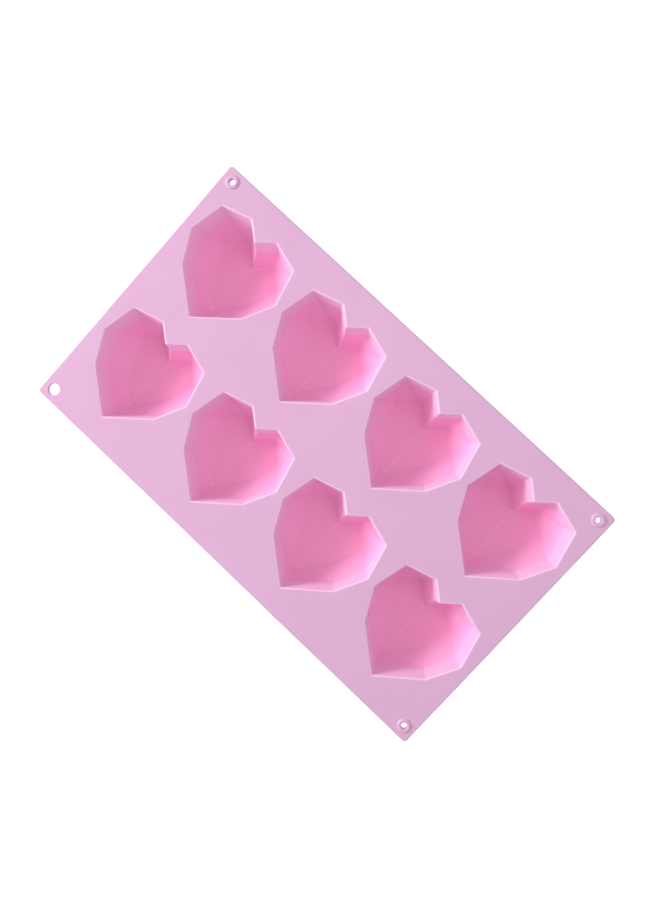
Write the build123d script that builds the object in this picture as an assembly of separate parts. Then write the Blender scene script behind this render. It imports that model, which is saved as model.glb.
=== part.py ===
from build123d import *
import os

# Resin casting mould: one flexible silicone sheet with eight faceted heart pockets in two rows of
# four. The moulding is built as its natural regions, which meet face to face: four sheet strips,
# the narrow webs between them that bend when a casting is released, the pockets that hang under
# the sheet, and the collars round the three small corner holes.
# Millimetres. +X runs along the sheet, the heart tips point to -Y, +Z is up.
# The origin is under the centre of the sheet, level with the lowest points of the pockets.

# ---- driving dimensions ----
SHEET_LENGTH = 295.0
SHEET_WIDTH = 173.0
SHEET_THICKNESS = 2.0
CORNER_RADIUS = 2.5
COLUMNS = 4
COLUMN_PITCH = 72.0
ROW_PITCH = 77.7
FLEX_WEB_WIDTH = 2.0

# Heart outline at the mouth, right half, from the tip round to the cleft. The tip is at (0, 0).
HEART_HALF = [(0.0, 0.0), (23.4, 19.5), (33.0, 38.2), (27.9, 59.3), (9.9, 64.6), (0.0, 56.2)]
HEART_HEIGHT = 64.6
UPPER_WALL_DEPTH = 14.0   # depth of the steep upper wall
UPPER_WALL_INSET = 1.9    # how far the upper wall draws in over that depth
POCKET_WALL = 1.8

# Floor outline, right half, from near the tip round to the point under the cleft. The half floor
# is one flat facet: it rises towards the tip and away from the centre crease.
FLOOR_HALF = [(0.0, 9.5), (15.8, 30.2), (21.3, 47.4), (10.6, 55.3), (0.0, 45.4)]
CREASE_DEPTH = 29.0       # depth of the crease under the cleft
CREASE_END_Y = 45.4
FLOOR_RISE_TO_TIP = 0.184
FLOOR_RISE_OUTWARD = 0.08
FLOOR_MARGIN = 0.9        # how far the outside of the floor stands out beyond the inside

CORNER_INSET = 7.0        # centre of each corner hole from both edges
HANG_HOLE_RADIUS = 3.4
SMALL_HOLE_RADIUS = 1.7
COLLAR_RADIUS = 4.2
COLLAR_HEIGHT = 0.8

STRIP_EDGE = COLUMN_PITCH / 2 - FLEX_WEB_WIDTH / 2   # from a column's centre to its webs

# Facets of the lower wall, right half. m = corner of the middle ring, f = corner of the floor.
LOWER_WALL = [
    ("m0", "m1", "f0"), ("m1", "f1", "f0"),
    ("m1", "m2", "f1"),
    ("m2", "m3", "f2"), ("m2", "f2", "f1"),
    ("m3", "m4", "f3"), ("m3", "f3", "f2"),
    ("m4", "m5", "f3"), ("m5", "f4", "f3"),
]


def mirrored(half):
    """The whole outline from its right half, whose first and last points lie on the centre line."""
    return half + [(-x, y) for x, y in reversed(half[1:-1])]


def inset(points, distance):
    """A closed counter-clockwise outline moved inwards by a distance, with mitred corners."""
    moved = []
    for i, (x, y) in enumerate(points):
        before = points[i - 1]
        after = points[(i + 1) % len(points)]
        a = Vector(x - before[0], y - before[1]).normalized()
        b = Vector(after[0] - x, after[1] - y).normalized()
        normal_a = Vector(-a.Y, a.X)
        normal_b = Vector(-b.Y, b.X)
        mitre = (normal_a + normal_b) * (distance / (1 + normal_a.dot(normal_b)))
        moved.append((x + mitre.X, y + mitre.Y))
    return moved


def floor_ring(wall):
    """Corners of the pocket floor. wall 0 gives the inside, a wall thickness the outside."""
    margin = FLOOR_MARGIN if wall else 0.0
    ring = []
    for x, y in inset(mirrored(FLOOR_HALF), -margin):
        rise = FLOOR_RISE_TO_TIP * (CREASE_END_Y - y) + FLOOR_RISE_OUTWARD * abs(x)
        ring.append((x, y, rise - CREASE_DEPTH - wall))
    return ring


def heart_ring(depth, outward=0.0):
    """The steep upper wall's outline at a depth, moved outward by a wall thickness."""
    draw_in = UPPER_WALL_INSET * min(depth, UPPER_WALL_DEPTH) / UPPER_WALL_DEPTH
    return inset(mirrored(HEART_HALF), draw_in - outward)


TOP_Z = -min(z for x, y, z in floor_ring(POCKET_WALL))


def closed_solid(faces):
    return Solid(Shell([Face(Wire.make_polygon(points, close=True)) for points in faces]))


def faceted_heart(top_depth, wall):
    """A closed heart body. wall 0 gives the cavity, a wall thickness gives the pocket's outside."""
    top = [(x, y, -top_depth) for x, y in heart_ring(top_depth, wall)]
    middle_depth = UPPER_WALL_DEPTH + wall / 2
    middle = [(x, y, -middle_depth) for x, y in heart_ring(middle_depth, wall)]
    floor = floor_ring(wall)

    count = len(top)
    faces = [top]
    for i in range(count):
        j = (i + 1) % count
        faces.append([top[i], top[j], middle[j], middle[i]])
    for side in (1, -1):
        corner = {}
        for i in range(len(HEART_HALF)):
            corner[f"m{i}"] = middle[side * i]
        for i in range(len(FLOOR_HALF)):
            corner[f"f{i}"] = floor[side * i]
        for names in LOWER_WALL:
            faces.append([corner[name] for name in names])
        faces.append([corner[f"f{i}"] for i in range(len(FLOOR_HALF))])
    return closed_solid(faces)


def column_x(column):
    return (column - (COLUMNS - 1) / 2) * COLUMN_PITCH


def tip_y(row):
    """Tip of the hearts in a row: row 1 is the back row, row -1 the front row."""
    return row * ROW_PITCH / 2 - HEART_HEIGHT / 2


def placed(shape, x, y, z):
    return Pos(x, y, z) * shape


def at_corner(shape, x_side, y_side, z):
    """A shape moved to the hole position in one corner of the sheet."""
    x = x_side * (SHEET_LENGTH / 2 - CORNER_INSET)
    y = y_side * (SHEET_WIDTH / 2 - CORNER_INSET)
    return placed(shape, x, y, z)


def corner_hole(x_side, y_side, radius):
    return at_corner(Cylinder(radius, 4 * SHEET_THICKNESS), x_side, y_side, TOP_Z)


def corner_collar(x_side, y_side):
    """A low ring that stands on the sheet round a small corner hole."""
    ring = Cylinder(COLLAR_RADIUS, COLLAR_HEIGHT) - Cylinder(SMALL_HOLE_RADIUS, 2 * COLLAR_HEIGHT)
    return at_corner(ring, x_side, y_side, TOP_Z + COLLAR_HEIGHT / 2)


def flat_panel(left, right):
    """A stretch of the sheet across its full width, between two positions along X."""
    panel = Box(right - left, SHEET_WIDTH, SHEET_THICKNESS)
    return placed(panel, (left + right) / 2, 0, TOP_Z - SHEET_THICKNESS / 2)


def sheet_strip(column, cavity):
    """The part of the sheet round one column of hearts, with their mouths cut through it."""
    left = column_x(column) - STRIP_EDGE
    right = column_x(column) + STRIP_EDGE
    first = column == 0
    last = column == COLUMNS - 1
    if first:
        left = -SHEET_LENGTH / 2
    if last:
        right = SHEET_LENGTH / 2
    strip = flat_panel(left, right)
    if first:
        strip = fillet(strip.edges().filter_by(Axis.Z).group_by(Axis.X)[0], CORNER_RADIUS)
        strip -= corner_hole(-1, -1, HANG_HOLE_RADIUS)
        strip -= corner_hole(-1, 1, SMALL_HOLE_RADIUS)
    if last:
        strip = fillet(strip.edges().filter_by(Axis.Z).group_by(Axis.X)[-1], CORNER_RADIUS)
        strip -= corner_hole(1, 1, SMALL_HOLE_RADIUS)
        strip -= corner_hole(1, -1, SMALL_HOLE_RADIUS)
    for row in (1, -1):
        strip -= placed(cavity, column_x(column), tip_y(row), TOP_Z)
    return strip


def flex_web(gap):
    """The narrow web between two columns, where the sheet bends."""
    middle = column_x(gap) + COLUMN_PITCH / 2
    return flat_panel(middle - FLEX_WEB_WIDTH / 2, middle + FLEX_WEB_WIDTH / 2)


def build_nodes():
    cavity = faceted_heart(-1.0, 0.0)
    pocket = faceted_heart(SHEET_THICKNESS, POCKET_WALL) - cavity
    nodes = {}
    for column in range(COLUMNS):
        nodes[f"sheet_strip_{column + 1}"] = sheet_strip(column, cavity)
        for row, row_name in ((1, "back"), (-1, "front")):
            name = f"heart_pocket_{row_name}_{column + 1}"
            nodes[name] = placed(pocket, column_x(column), tip_y(row), TOP_Z)
    for gap in range(COLUMNS - 1):
        nodes[f"flex_web_{gap + 1}"] = flex_web(gap)
    nodes["corner_collar_back_left"] = corner_collar(-1, 1)
    nodes["corner_collar_back_right"] = corner_collar(1, 1)
    nodes["corner_collar_front_right"] = corner_collar(1, -1)
    return nodes


os.makedirs("parts", exist_ok=True)
for node_name, shape in build_nodes().items():
    export_step(shape, f"parts/{node_name}.step")
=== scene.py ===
import math

import bmesh
import bpy
from mathutils import Matrix, Vector, geometry, noise


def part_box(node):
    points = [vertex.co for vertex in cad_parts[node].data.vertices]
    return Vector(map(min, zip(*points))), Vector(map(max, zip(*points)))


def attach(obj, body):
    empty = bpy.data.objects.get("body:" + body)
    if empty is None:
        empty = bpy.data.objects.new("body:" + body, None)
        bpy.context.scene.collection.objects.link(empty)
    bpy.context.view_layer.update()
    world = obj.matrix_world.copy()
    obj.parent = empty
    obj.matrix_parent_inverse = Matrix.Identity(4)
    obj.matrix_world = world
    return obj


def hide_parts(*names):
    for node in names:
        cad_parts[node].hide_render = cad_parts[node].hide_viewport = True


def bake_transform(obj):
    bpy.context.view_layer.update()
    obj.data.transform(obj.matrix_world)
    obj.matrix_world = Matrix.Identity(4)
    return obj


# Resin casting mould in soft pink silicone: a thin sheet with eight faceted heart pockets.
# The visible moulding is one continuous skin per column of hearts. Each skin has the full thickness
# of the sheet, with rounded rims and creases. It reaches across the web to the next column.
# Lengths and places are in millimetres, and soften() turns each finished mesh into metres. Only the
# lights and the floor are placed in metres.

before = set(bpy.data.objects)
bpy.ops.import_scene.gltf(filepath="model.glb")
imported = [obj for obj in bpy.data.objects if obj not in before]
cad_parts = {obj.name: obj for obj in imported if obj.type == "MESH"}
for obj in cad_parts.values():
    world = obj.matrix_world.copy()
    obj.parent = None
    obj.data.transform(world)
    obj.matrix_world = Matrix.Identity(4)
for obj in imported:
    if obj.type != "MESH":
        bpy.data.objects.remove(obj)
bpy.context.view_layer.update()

MM = 0.001
COLUMNS = 4
ROWS = {"back": 1, "front": -1}

# ---- sizes read from the frame ----
first_low, first_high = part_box("sheet_strip_1")
last_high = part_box("sheet_strip_4")[1]
LEFT_END = first_low.x / MM
RIGHT_END = last_high.x / MM
HALF_WIDTH = first_high.y / MM
TOP_Z = first_high.z / MM
UNDERSIDE_Z = first_low.z / MM
SHEET_THICKNESS = TOP_Z - UNDERSIDE_Z
COLUMN_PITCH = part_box("flex_web_2")[0].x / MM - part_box("flex_web_1")[0].x / MM
collar_low, collar_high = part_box("corner_collar_back_left")
COLLAR_RADIUS = (collar_high.x - collar_low.x) / 2 / MM
COLLAR_HEIGHT = (collar_high.z - collar_low.z) / MM

# ---- sizes of the moulding, as in the CAD model ----
ROW_PITCH = 77.7
CORNER_RADIUS = 2.5
# Heart outline at the mouth, right half, from the tip at (0, 0) round to the cleft.
HEART_HALF = [(0.0, 0.0), (23.4, 19.5), (33.0, 38.2), (27.9, 59.3), (9.9, 64.6), (0.0, 56.2)]
HEART_HEIGHT = 64.6
UPPER_WALL_DEPTH = 14.0
UPPER_WALL_INSET = 1.9
POCKET_WALL = 1.8
# The floor of a heart: right half of its outline, and how it falls to the crease in the middle.
FLOOR_HALF = [(0.0, 9.5), (15.8, 30.2), (21.3, 47.4), (10.6, 55.3), (0.0, 45.4)]
CREASE_DEPTH = 29.0
CREASE_END_Y = 45.4
FLOOR_RISE_TO_TIP = 0.184
FLOOR_RISE_OUTWARD = 0.08
FLOOR_MARGIN = 0.9
# Facets of the lower wall, right half. m = corner of the middle ring, f = corner of the floor.
LOWER_WALL = [
    ("m0", "m1", "f0"), ("m1", "f1", "f0"),
    ("m1", "m2", "f1"),
    ("m2", "m3", "f2"), ("m2", "f2", "f1"),
    ("m3", "m4", "f3"), ("m3", "f3", "f2"),
    ("m4", "m5", "f3"), ("m5", "f4", "f3"),
]
CORNER_INSET = 7.0
HANG_HOLE_RADIUS = 3.4
SMALL_HOLE_RADIUS = 1.7

# ---- how the skin is meshed and rounded ----
SEAM_OFFSET = 2.0         # one skin ends and the next begins this far past the middle of a web
GRID_STEP = 6.0
GRID_CLEARANCE = 2.2
CDT_TRIANGLES = 0         # asks the triangulation for triangles over the whole convex outline
CDT_TOLERANCE = 1e-6
TOUCHING = 1e-3           # points closer than this are the same
HOLE_SEGMENTS = 40
CORNER_STEPS = 6
BEVEL_SEGMENTS = 4
BEVEL_FULL = 1.6          # rounding of an edge whose bevel weight is 1
RIM_BEVEL = 0.8
CREASE_BEVEL = 0.8
OUTSIDE_BEVEL = 1.5
BORDER_BEVEL = 0.7
HOLE_BEVEL = 0.35
FLAT_ANGLE = math.radians(3.5)      # edges flatter than this are not rounded
SHARP_ANGLE = math.radians(38.0)    # edges sharper than this stay sharp in the shading
END_REACH = 2 * CORNER_INSET        # edges this close to an end of the sheet, and at the same
SIDE_REACH = 1.6 * CORNER_INSET     # time this close to a side, belong to a corner hole
INNER_MARGIN = 0.3        # the inner skin of a pocket may stand this far outside its middle ring
SHEET_SKEW = -0.0085      # the soft sheet lies very slightly out of square
# Waves of the soft sheet: length along x and along y, place in the noise, height.
WAVES = [(95.0, 80.0, 3.1, 0.55), (34.0, 30.0, 8.7, 0.12)]
COLLAR_SEGMENTS = 48
COLLAR_EMBED = 0.05       # the foot of a collar reaches this far into the sheet
# Profile of a collar: distance out from the hole, or in from the foot, and share of the height.
COLLAR_BORE = [(0.0, 0.3), (0.08, 0.62), (0.28, 0.88), (0.62, 1.0)]
COLLAR_SHOULDER = [(1.2, 1.0), (0.78, 0.92), (0.5, 0.7), (0.34, 0.4), (0.16, 0.14)]


# ---- outlines ----

def mirrored(half):
    """The whole outline from its right half, whose ends lie on the centre line."""
    return half + [(-x, y) for x, y in reversed(half[1:-1])]


def inset(points, distance):
    """A closed counter-clockwise outline moved inwards by a distance, with mitred corners."""
    moved = []
    for i, point in enumerate(points):
        here = Vector(point)
        a = (here - Vector(points[i - 1])).normalized()
        b = (Vector(points[(i + 1) % len(points)]) - here).normalized()
        normal_a = Vector((-a.y, a.x))
        normal_b = Vector((-b.y, b.x))
        mitre = (normal_a + normal_b) * (distance / (1 + normal_a.dot(normal_b)))
        moved.append(tuple(here + mitre))
    return moved


def heart_ring(depth, outward=0.0):
    """The steep upper wall's outline at a depth, moved outward by a wall thickness."""
    draw_in = UPPER_WALL_INSET * min(depth, UPPER_WALL_DEPTH) / UPPER_WALL_DEPTH
    return inset(mirrored(HEART_HALF), draw_in - outward)


def floor_rise(x, y):
    """How far the floor of a heart stands above its lowest point."""
    return FLOOR_RISE_TO_TIP * (CREASE_END_Y - y) + FLOOR_RISE_OUTWARD * abs(x)


def floor_ring(wall):
    """Corners of the pocket floor. wall 0 gives the inside, a wall thickness the outside."""
    margin = FLOOR_MARGIN if wall else 0.0
    ring = []
    for x, y in inset(mirrored(FLOOR_HALF), -margin):
        ring.append((x, y, floor_rise(x, y) - CREASE_DEPTH - wall))
    return ring


def heart_faces(top_depth, wall):
    """Facets of one heart below the sheet's face, without a lid. wall 0 gives the inside."""
    top = [(x, y, -top_depth) for x, y in heart_ring(top_depth, wall)]
    middle_depth = UPPER_WALL_DEPTH + wall / 2
    middle = [(x, y, -middle_depth) for x, y in heart_ring(middle_depth, wall)]
    floor = floor_ring(wall)
    faces = []
    for i in range(len(top)):
        j = (i + 1) % len(top)
        faces.append([top[i], top[j], middle[j], middle[i]])
    for side in (1, -1):
        corner = {f"m{i}": middle[side * i] for i in range(len(HEART_HALF))}
        corner.update({f"f{i}": floor[side * i] for i in range(len(FLOOR_HALF))})
        faces += [[corner[name] for name in names] for names in LOWER_WALL]
        faces.append([corner[f"f{i}"] for i in range(len(FLOOR_HALF))])
    return faces


def column_x(column):
    return (column - (COLUMNS + 1) / 2) * COLUMN_PITCH


def tip_y(row):
    """Tip of the hearts in a row."""
    return ROWS[row] * ROW_PITCH / 2 - HEART_HEIGHT / 2


def heart_place(point):
    """A point's x and y measured from the tip of the heart it belongs to."""
    column = round(point.x / COLUMN_PITCH + (COLUMNS + 1) / 2)
    row = "back" if point.y > 0 else "front"
    return point.x - column_x(column), point.y - tip_y(row)


def from_end(point):
    """Distance in from the nearer short end of the sheet."""
    return min(point.x - LEFT_END, RIGHT_END - point.x)


def from_side(point):
    """Distance in from the nearer long side of the sheet."""
    return HALF_WIDTH - abs(point.y)


def circle(centre, radius):
    points = []
    for i in range(HOLE_SEGMENTS):
        angle = 2 * math.pi * i / HOLE_SEGMENTS
        points.append((centre[0] + radius * math.cos(angle), centre[1] + radius * math.sin(angle)))
    return points


def corner_centre(x_side, y_side):
    """Centre of the hole in one corner of the sheet."""
    end = RIGHT_END if x_side > 0 else LEFT_END
    return (end - x_side * CORNER_INSET, y_side * (HALF_WIDTH - CORNER_INSET))


def stepped(a, b):
    """Points from a up to, not including, b, about one grid step apart."""
    a, b = Vector(a), Vector(b)
    count = max(1, round((b - a).length / GRID_STEP))
    return [tuple(a.lerp(b, i / count)) for i in range(count)]


def strip_outline(left, right, round_left, round_right):
    """Border of one strip of the sheet, counter-clockwise, with its free corners rounded."""
    corners = [
        ((left, -HALF_WIDTH), round_left, 180), ((right, -HALF_WIDTH), round_right, 270),
        ((right, HALF_WIDTH), round_right, 0), ((left, HALF_WIDTH), round_left, 90),
    ]
    runs = []
    for (x, y), is_round, start in corners:
        if not is_round:
            runs.append([(x, y)])
            continue
        centre_x = x + (CORNER_RADIUS if x == left else -CORNER_RADIUS)
        centre_y = y + (CORNER_RADIUS if y < 0 else -CORNER_RADIUS)
        arc = []
        for i in range(CORNER_STEPS + 1):
            angle = math.radians(start + 90 * i / CORNER_STEPS)
            arc.append((centre_x + CORNER_RADIUS * math.cos(angle),
                        centre_y + CORNER_RADIUS * math.sin(angle)))
        runs.append(arc)
    outline = []
    for i, run in enumerate(runs):
        outline += run[:-1] + stepped(run[-1], runs[(i + 1) % len(runs)][0])
    return outline


# ---- the flat faces of the sheet ----

def inside(point, polygon):
    """True for a point within a closed outline."""
    x, y = point
    hit = False
    for i, (x1, y1) in enumerate(polygon):
        x0, y0 = polygon[i - 1]
        if (y0 > y) != (y1 > y) and x < (x1 - x0) * (y - y0) / (y1 - y0) + x0:
            hit = not hit
    return hit


def distance_to(point, polygon):
    """Distance from a point to the nearest stretch of a closed outline."""
    here = Vector(point)
    nearest = math.inf
    for i, corner in enumerate(polygon):
        a, b = Vector(polygon[i - 1]), Vector(corner)
        share = max(0.0, min(1.0, (here - a).dot(b - a) / (b - a).length_squared))
        nearest = min(nearest, (here - a.lerp(b, share)).length)
    return nearest


def flat_triangles(outline, holes):
    """Triangles that fill an outline round its holes, with extra points on an even grid."""
    points, edges = [], []
    for loop in [outline] + holes:
        start = len(points)
        points += loop
        edges += [(start + i, start + (i + 1) % len(loop)) for i in range(len(loop))]
    left, right = min(x for x, y in outline), max(x for x, y in outline)
    front, back = min(y for x, y in outline), max(y for x, y in outline)
    across = round((right - left) / GRID_STEP)
    along = round((back - front) / GRID_STEP)
    for i in range(1, across):
        for j in range(1, along):
            point = (left + (right - left) * i / across, front + (back - front) * j / along)
            if any(inside(point, hole) for hole in holes):
                continue
            if min(distance_to(point, loop) for loop in [outline] + holes) > GRID_CLEARANCE:
                points.append(point)
    result = geometry.delaunay_2d_cdt(
        [Vector(p) for p in points], edges, [], CDT_TRIANGLES, CDT_TOLERANCE)
    places, found = result[0], result[2]
    triangles = []
    for triangle in found:
        corners = [tuple(places[i]) for i in triangle]
        middle = (sum(x for x, y in corners) / 3, sum(y for x, y in corners) / 3)
        if inside(middle, outline) and not any(inside(middle, hole) for hole in holes):
            triangles.append(corners)
    return triangles


# ---- one column of the moulding ----

def column_solid(column):
    """The sheet round one column of hearts and its two pockets, as one faceted bmesh.

    Also gives the two places along x where the column begins and ends. The outside of a pocket
    passes the seam on its left by 0.6 mm on the underside, and the mesh is open there, behind the
    skin of the column before.
    """
    first, last = column == 1, column == COLUMNS
    left = LEFT_END if first else column_x(column) - COLUMN_PITCH / 2 + SEAM_OFFSET
    right = RIGHT_END if last else column_x(column) + COLUMN_PITCH / 2 + SEAM_OFFSET
    outline = strip_outline(left, right, first, last)

    round_holes = []
    if first:
        round_holes.append(circle(corner_centre(-1, -1), HANG_HOLE_RADIUS))
        round_holes.append(circle(corner_centre(-1, 1), SMALL_HOLE_RADIUS))
    if last:
        round_holes.append(circle(corner_centre(1, 1), SMALL_HOLE_RADIUS))
        round_holes.append(circle(corner_centre(1, -1), SMALL_HOLE_RADIUS))

    faces, mouths, roots = [], [], []
    for row in ROWS:
        origin = Vector((column_x(column), tip_y(row), TOP_Z))
        for skin in (heart_faces(0.0, 0.0), heart_faces(SHEET_THICKNESS, POCKET_WALL)):
            faces += [[tuple(Vector(p) + origin) for p in face] for face in skin]
        mouths.append([(x + origin.x, y + origin.y) for x, y in heart_ring(0.0)])
        ring = heart_ring(SHEET_THICKNESS, POCKET_WALL)
        roots.append([(x + origin.x, y + origin.y) for x, y in ring])

    for triangle in flat_triangles(outline, mouths + round_holes):
        faces.append([(x, y, TOP_Z) for x, y in triangle])
    for triangle in flat_triangles(outline, roots + round_holes):
        faces.append([(x, y, UNDERSIDE_Z) for x, y in triangle])
    for loop in [outline] + round_holes:
        for i, (x1, y1) in enumerate(loop):
            x0, y0 = loop[i - 1]
            faces.append([(x0, y0, TOP_Z), (x1, y1, TOP_Z),
                          (x1, y1, UNDERSIDE_Z), (x0, y0, UNDERSIDE_Z)])

    bm = bmesh.new()
    for face in faces:
        bm.faces.new([bm.verts.new(point) for point in face])
    bmesh.ops.remove_doubles(bm, verts=bm.verts, dist=TOUCHING)
    bmesh.ops.recalc_face_normals(bm, faces=bm.faces)
    return bm, left, right


def both_at(a, b, place):
    """True if two coordinates are both at a place."""
    return abs(a - place) < TOUCHING and abs(b - place) < TOUCHING


def edge_rounding(edge, left, right):
    """How far an edge of a column is rounded, in millimetres."""
    if edge.calc_face_angle(0.0) < FLAT_ANGLE:
        return 0.0
    a, b = edge.verts[0].co, edge.verts[1].co
    seams = [x for x in (left, right) if x not in (LEFT_END, RIGHT_END)]
    if any(both_at(a.x, b.x, x) for x in seams):
        return 0.0
    middle = (a + b) / 2
    near_corner = from_end(middle) < END_REACH and from_side(middle) < SIDE_REACH
    border = min(from_end(middle), from_side(middle)) < CORNER_RADIUS
    if both_at(a.z, b.z, TOP_Z) or both_at(a.z, b.z, UNDERSIDE_Z):
        if border:
            return BORDER_BEVEL
        if near_corner:
            return HOLE_BEVEL
        return RIM_BEVEL
    if near_corner or border:
        return 0.0
    if is_inner_skin(middle):
        return CREASE_BEVEL
    return OUTSIDE_BEVEL


def is_inner_skin(point):
    """True for a point on the inner skin of a pocket rather than on its outside."""
    here = heart_place(point)
    depth = TOP_Z - point.z
    if depth <= UPPER_WALL_DEPTH:
        ring = heart_ring(depth)
        return distance_to(here, ring) < POCKET_WALL / 2 or inside(here, ring)
    above_outside = depth < CREASE_DEPTH - floor_rise(*here) + POCKET_WALL / 2
    return above_outside and inside(here, inset(heart_ring(UPPER_WALL_DEPTH), -INNER_MARGIN))


# ---- rounding, softening and shading ----

def add_object(name, data):
    thing = bpy.data.objects.new(name, data)
    bpy.context.scene.collection.objects.link(thing)
    return thing


def apply_modifiers(piece):
    graph = bpy.context.evaluated_depsgraph_get()
    mesh = bpy.data.meshes.new_from_object(piece.evaluated_get(graph))
    mesh.name = piece.name
    piece.modifiers.clear()
    piece.data = mesh


def rounded_piece(bm, name, left, right):
    """The column as an object with its edges rounded, still in millimetres."""
    weights = bm.edges.layers.float.new("bevel_weight_edge")
    for edge in bm.edges:
        edge[weights] = edge_rounding(edge, left, right) / BEVEL_FULL
    mesh = bpy.data.meshes.new(name)
    bm.to_mesh(mesh)
    bm.free()
    piece = add_object(name, mesh)
    bevel = piece.modifiers.new("round", "BEVEL")
    bevel.limit_method = "WEIGHT"
    bevel.offset_type = "OFFSET"
    bevel.width = BEVEL_FULL
    bevel.segments = BEVEL_SEGMENTS
    bevel.use_clamp_overlap = False
    apply_modifiers(piece)
    return piece


def unevenness(x, y):
    """Slight lift of the soft sheet off a true plane."""
    return sum(height * noise.noise(Vector((x / length_x, y / length_y, place)))
               for length_x, length_y, place, height in WAVES)


def soften(piece):
    """Gives the moulding the small unevenness of soft silicone, then scales it to metres."""
    for vertex in piece.data.vertices:
        x, y, z = vertex.co
        share = max(0.0, (z - TOP_Z + UPPER_WALL_DEPTH) / UPPER_WALL_DEPTH)
        lift = unevenness(x, y) * min(1.0, share)
        vertex.co = (x + SHEET_SKEW * y, y + SHEET_SKEW * x, z + lift)
    piece.data.transform(Matrix.Scale(MM, 4))


def collar_ring(name, centre):
    """A low closed ring round a corner hole, with a rounded top and a foot that flares a little."""
    profile = [(SMALL_HOLE_RADIUS, -COLLAR_EMBED)]
    profile += [(SMALL_HOLE_RADIUS + out, share * COLLAR_HEIGHT) for out, share in COLLAR_BORE]
    profile += [(COLLAR_RADIUS - back, share * COLLAR_HEIGHT) for back, share in COLLAR_SHOULDER]
    profile += [(COLLAR_RADIUS, 0.0), (COLLAR_RADIUS, -COLLAR_EMBED)]
    points, quads = [], []
    for i in range(COLLAR_SEGMENTS):
        angle = 2 * math.pi * i / COLLAR_SEGMENTS
        for radius, height in profile:
            points.append((centre[0] + radius * math.cos(angle),
                           centre[1] + radius * math.sin(angle), TOP_Z + height))
    count = len(profile)
    for i in range(COLLAR_SEGMENTS):
        j = (i + 1) % COLLAR_SEGMENTS
        for k in range(count):
            m = (k + 1) % count
            quads.append((i * count + k, i * count + m, j * count + m, j * count + k))
    mesh = bpy.data.meshes.new(name)
    mesh.from_pydata(points, [], quads)
    mesh.validate()
    return add_object(name, mesh)


def shade(piece):
    """Smooth roundings between flat facets: big faces decide the normals."""
    for polygon in piece.data.polygons:
        polygon.use_smooth = True
    bm = bmesh.new()
    bm.from_mesh(piece.data)
    for edge in bm.edges:
        edge.smooth = edge.calc_face_angle(0.0) < SHARP_ANGLE
    bm.to_mesh(piece.data)
    bm.free()
    weighted = piece.modifiers.new("weighted", "WEIGHTED_NORMAL")
    weighted.keep_sharp = True
    apply_modifiers(piece)


# ---- colour and painted light ----

TONE_AND_PAINTED_LIGHT_LAYER = "tone_and_painted_light"
# Base colour of the moulding by region. Only the sheet's colour is the silicone's own;
# the other regions carry painted light and shade.
TONES_AND_PAINTED_LIGHT = {
    "sheet": (0.684, 0.406, 0.61),
    # painted shade: the sheet's outer side faces, dark grey-pink as if in shadow
    "border": (0.36, 0.26, 0.31),
    # painted shade: the walls of the corner holes, darkened
    "hole": (0.42, 0.20, 0.29),
    # painted highlight: a lighter band round the mouth of each pocket
    "rim": (0.82, 0.53, 0.76),
    # painted light: walls and floor lighter and redder than the sheet, more saturated deeper down
    "upper wall": (0.875, 0.505, 0.74),
    "lower wall": (0.905, 0.395, 0.65),
    "floor": (0.905, 0.37, 0.61),
    # painted highlight: a lighter line along the crease of each floor
    "crease": (0.92, 0.425, 0.66),
}
# depth of the painted highlight band round each pocket's mouth
PAINTED_RIM_HIGHLIGHT_DEPTH = 0.55
FACE_DEPTH = 0.02         # faces no deeper than this lie in the sheet's upper face
# half width of the painted highlight line along the crease
PAINTED_CREASE_LINE_HALF_WIDTH = 0.6
# Limits for the upward part of a face's normal.
LEVEL = 0.9               # above this the face lies level
UPRIGHT = 0.2             # below this it stands upright
UPWARD = 0.02             # below this it stands upright or faces down
FLOOR_LEVEL = 0.93        # above this, deep in a pocket, it belongs to the floor


def region(centre, normal):
    """Name of the region of the moulding that a face belongs to, from its place in millimetres."""
    # every region but the sheet carries painted light or shade in its colour
    depth = TOP_Z - centre.z
    # painted shade on the sheet's outer side faces
    if min(from_end(centre), from_side(centre)) < BORDER_BEVEL and abs(normal.z) < LEVEL:
        return "border"
    # painted shade on the walls of the corner holes
    in_corner = max(from_end(centre), from_side(centre)) < 2 * CORNER_INSET
    if in_corner and abs(normal.z) < UPRIGHT and -COLLAR_EMBED < depth < SHEET_THICKNESS:
        return "hole"
    if normal.z < UPWARD or depth < FACE_DEPTH:
        return "sheet"
    here = heart_place(centre)
    if not inside(here, heart_ring(0.0, BEVEL_FULL)):
        return "sheet"
    # painted highlight round the mouth of each pocket
    if depth < PAINTED_RIM_HIGHLIGHT_DEPTH:
        return "rim"
    # painted light in the walls and floor, redder and more saturated deeper down
    if depth < UPPER_WALL_DEPTH:
        return "upper wall"
    if normal.z < FLOOR_LEVEL:
        return "lower wall"
    # painted highlight along the crease
    return "crease" if abs(here[0]) < PAINTED_CREASE_LINE_HALF_WIDTH else "floor"


def paint_colour_and_light(piece):
    """Writes each face's base colour, painted light and shade included, as a colour attribute.
    Runs before the mesh is scaled.
    """
    layer = piece.data.color_attributes.new(TONE_AND_PAINTED_LIGHT_LAYER, "FLOAT_COLOR", "CORNER")
    for polygon in piece.data.polygons:
        colour = (*TONES_AND_PAINTED_LIGHT[region(polygon.center, polygon.normal)], 1)
        for corner in polygon.loop_indices:
            layer.data[corner].color = colour


# ---- material ----

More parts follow.
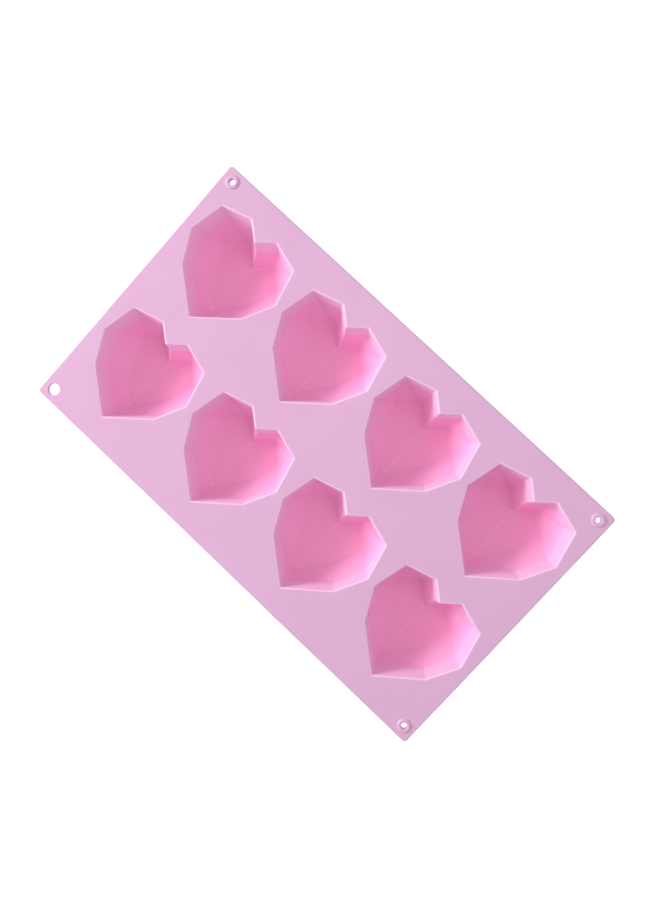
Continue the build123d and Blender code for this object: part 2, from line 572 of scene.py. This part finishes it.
SILICONE_FINISH = {
    "Roughness": 0.5,
    "Specular IOR Level": 0.35,
    "Subsurface Weight": 0.15,
    "Subsurface Radius": (1.0, 0.35, 0.6),
    "Subsurface Scale": 0.001,
    "Sheen Weight": 0.08,
    "Sheen Roughness": 0.5,
    "Sheen Tint": (0.93, 0.86, 1.0, 1),
}
MOTTLE = {"Scale": 28, "Detail": 3}
MOTTLE_RAMP = [(0.35, (0.99, 0.965, 0.98, 1)), (0.68, (1.0, 1.0, 1.0, 1))]
GRAIN = {"Scale": 1800, "Detail": 2}
GRAIN_BUMP = {"Strength": 0.12, "Distance": 0.0002}
MIX_COLOUR_A, MIX_COLOUR_B, MIX_COLOUR_RESULT = 6, 7, 2    # colour sockets of a mix node


def set_inputs(node, values):
    for name, value in values.items():
        node.inputs[name].default_value = value


def silicone():
    """Soft satin silicone: the regional colour, painted light and shade included, faintly
    mottled, with a fine grain.
    """
    material = bpy.data.materials.new("pink_silicone")
    material.use_nodes = True
    nodes, links = material.node_tree.nodes, material.node_tree.links
    shader = nodes["Principled BSDF"]
    set_inputs(shader, SILICONE_FINISH)

    place = nodes.new("ShaderNodeTexCoord")
    mottle = nodes.new("ShaderNodeTexNoise")
    set_inputs(mottle, MOTTLE)
    ramp = nodes.new("ShaderNodeValToRGB")
    for element, (position, colour) in zip(ramp.color_ramp.elements, MOTTLE_RAMP):
        element.position = position
        element.color = colour
    tone_and_painted_light = nodes.new("ShaderNodeAttribute")
    tone_and_painted_light.attribute_name = TONE_AND_PAINTED_LIGHT_LAYER
    mix = nodes.new("ShaderNodeMix")
    mix.data_type = "RGBA"
    mix.blend_type = "MULTIPLY"
    set_inputs(mix, {"Factor": 1.0})
    links.new(place.outputs["Object"], mottle.inputs["Vector"])
    links.new(mottle.outputs["Fac"], ramp.inputs["Fac"])
    links.new(tone_and_painted_light.outputs["Color"], mix.inputs[MIX_COLOUR_A])
    links.new(ramp.outputs["Color"], mix.inputs[MIX_COLOUR_B])
    links.new(mix.outputs[MIX_COLOUR_RESULT], shader.inputs["Base Color"])

    grain = nodes.new("ShaderNodeTexNoise")
    set_inputs(grain, GRAIN)
    bump = nodes.new("ShaderNodeBump")
    set_inputs(bump, GRAIN_BUMP)
    links.new(place.outputs["Object"], grain.inputs["Vector"])
    links.new(grain.outputs["Fac"], bump.inputs["Height"])
    links.new(bump.outputs["Normal"], shader.inputs["Normal"])
    return material


# ---- camera, lights and floor ----

CAMERA_PLACE = Vector((23.36, 30.84, 388.36))   # millimetres, from the centre of the sheet's face
CAMERA_AIM = Vector((4.06, 5.94, 0.0))
CAMERA_UP = Vector((-0.6783, 0.7347, -0.0134))
CAMERA_LENS = 27.36
CAMERA_SENSOR = 36.0
CAMERA_CLIP_START = 0.01


def around(azimuth, elevation, distance=1.6):
    """A place round the mould, from angles in degrees and a distance in metres."""
    a, e = math.radians(azimuth), math.radians(elevation)
    return (distance * math.cos(e) * math.cos(a), distance * math.cos(e) * math.sin(a),
            distance * math.sin(e))


# Square white lights that face the origin: name, place and width in metres, power in watts.
LIGHTS = [
    ("key", around(199, 25), 0.5, 20.5),
    ("side", around(235, 35), 0.5, 3.2),
    ("fill", around(20, 50), 1.0, 0.7),
    ("near", (-0.03, 0.09, 0.38), 0.12, 0.12),
]
SURROUNDINGS = {"Color": (1, 1, 1, 1), "Strength": 0.635}
STAGE_HALF = 3
STAGE_Z = -0.001
STAGE_PAINT = {
    "Base Color": (0.9, 0.9, 0.9, 1),
    "Roughness": 0.7,
    "Emission Color": (1, 1, 1, 1),
    "Emission Strength": 0.5,
}


def make_camera():
    camera = add_object("camera", bpy.data.cameras.new("camera"))
    face = Vector((0, 0, TOP_Z))
    back = (CAMERA_PLACE - CAMERA_AIM).normalized()
    right = CAMERA_UP.cross(back).normalized()
    up = back.cross(right)
    turn = Matrix((right, up, back)).transposed().to_4x4()
    camera.matrix_world = Matrix.Translation((CAMERA_PLACE + face) * MM) @ turn
    camera.data.lens = CAMERA_LENS
    camera.data.sensor_width = CAMERA_SENSOR
    camera.data.clip_start = CAMERA_CLIP_START
    bpy.context.scene.camera = camera


def area_light(name, place, width, power):
    light = bpy.data.lights.new(name, "AREA")
    light.shape = "RECTANGLE"
    light.size = light.size_y = width
    light.energy = power
    light.color = (1, 1, 1)
    lamp = add_object(name, light)
    lamp.location = place
    lamp.rotation_euler = (-Vector(place)).to_track_quat("-Z", "Y").to_euler()


def make_studio():
    for name, place, width, power in LIGHTS:
        area_light(name, place, width, power)
    world = bpy.data.worlds.new("studio")
    world.use_nodes = True
    set_inputs(world.node_tree.nodes["Background"], SURROUNDINGS)
    bpy.context.scene.world = world
    bpy.context.scene.view_settings.view_transform = "Standard"

    mesh = bpy.data.meshes.new("floor")
    half = STAGE_HALF
    corners = [(-half, -half, 0), (half, -half, 0), (half, half, 0), (-half, half, 0)]
    mesh.from_pydata(corners, [], [(0, 1, 2, 3)])
    floor = add_object("floor", mesh)
    material = bpy.data.materials.new("pale_floor")
    material.use_nodes = True
    set_inputs(material.node_tree.nodes["Principled BSDF"], STAGE_PAINT)
    mesh.materials.append(material)
    floor.location.z = STAGE_Z


# ---- build ----

def dress(piece, material):
    """Colours a piece, painted light and shade included, then softens and shades it and gives
    it its material.
    """
    paint_colour_and_light(piece)
    soften(piece)
    shade(piece)
    piece.data.materials.append(material)


make_camera()
make_studio()
pink = silicone()

for column in range(1, COLUMNS + 1):
    solid, left_edge, right_edge = column_solid(column)
    skin = rounded_piece(solid, f"moulding_column_{column}", left_edge, right_edge)
    dress(skin, pink)
    nodes = [f"sheet_strip_{column}", f"heart_pocket_back_{column}", f"heart_pocket_front_{column}"]
    if column < COLUMNS:
        nodes.append(f"flex_web_{column}")
        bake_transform(skin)
    else:
        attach(skin, f"column_{column}")
    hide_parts(*nodes)

for corner, x_side, y_side, body in (
        ("back_left", -1, 1, "column_1"), ("back_right", 1, 1, "column_4"),
        ("front_right", 1, -1, "column_4")):
    collar = collar_ring(f"collar_{corner}", corner_centre(x_side, y_side))
    dress(collar, pink)
    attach(collar, body)
    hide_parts(f"corner_collar_{corner}")
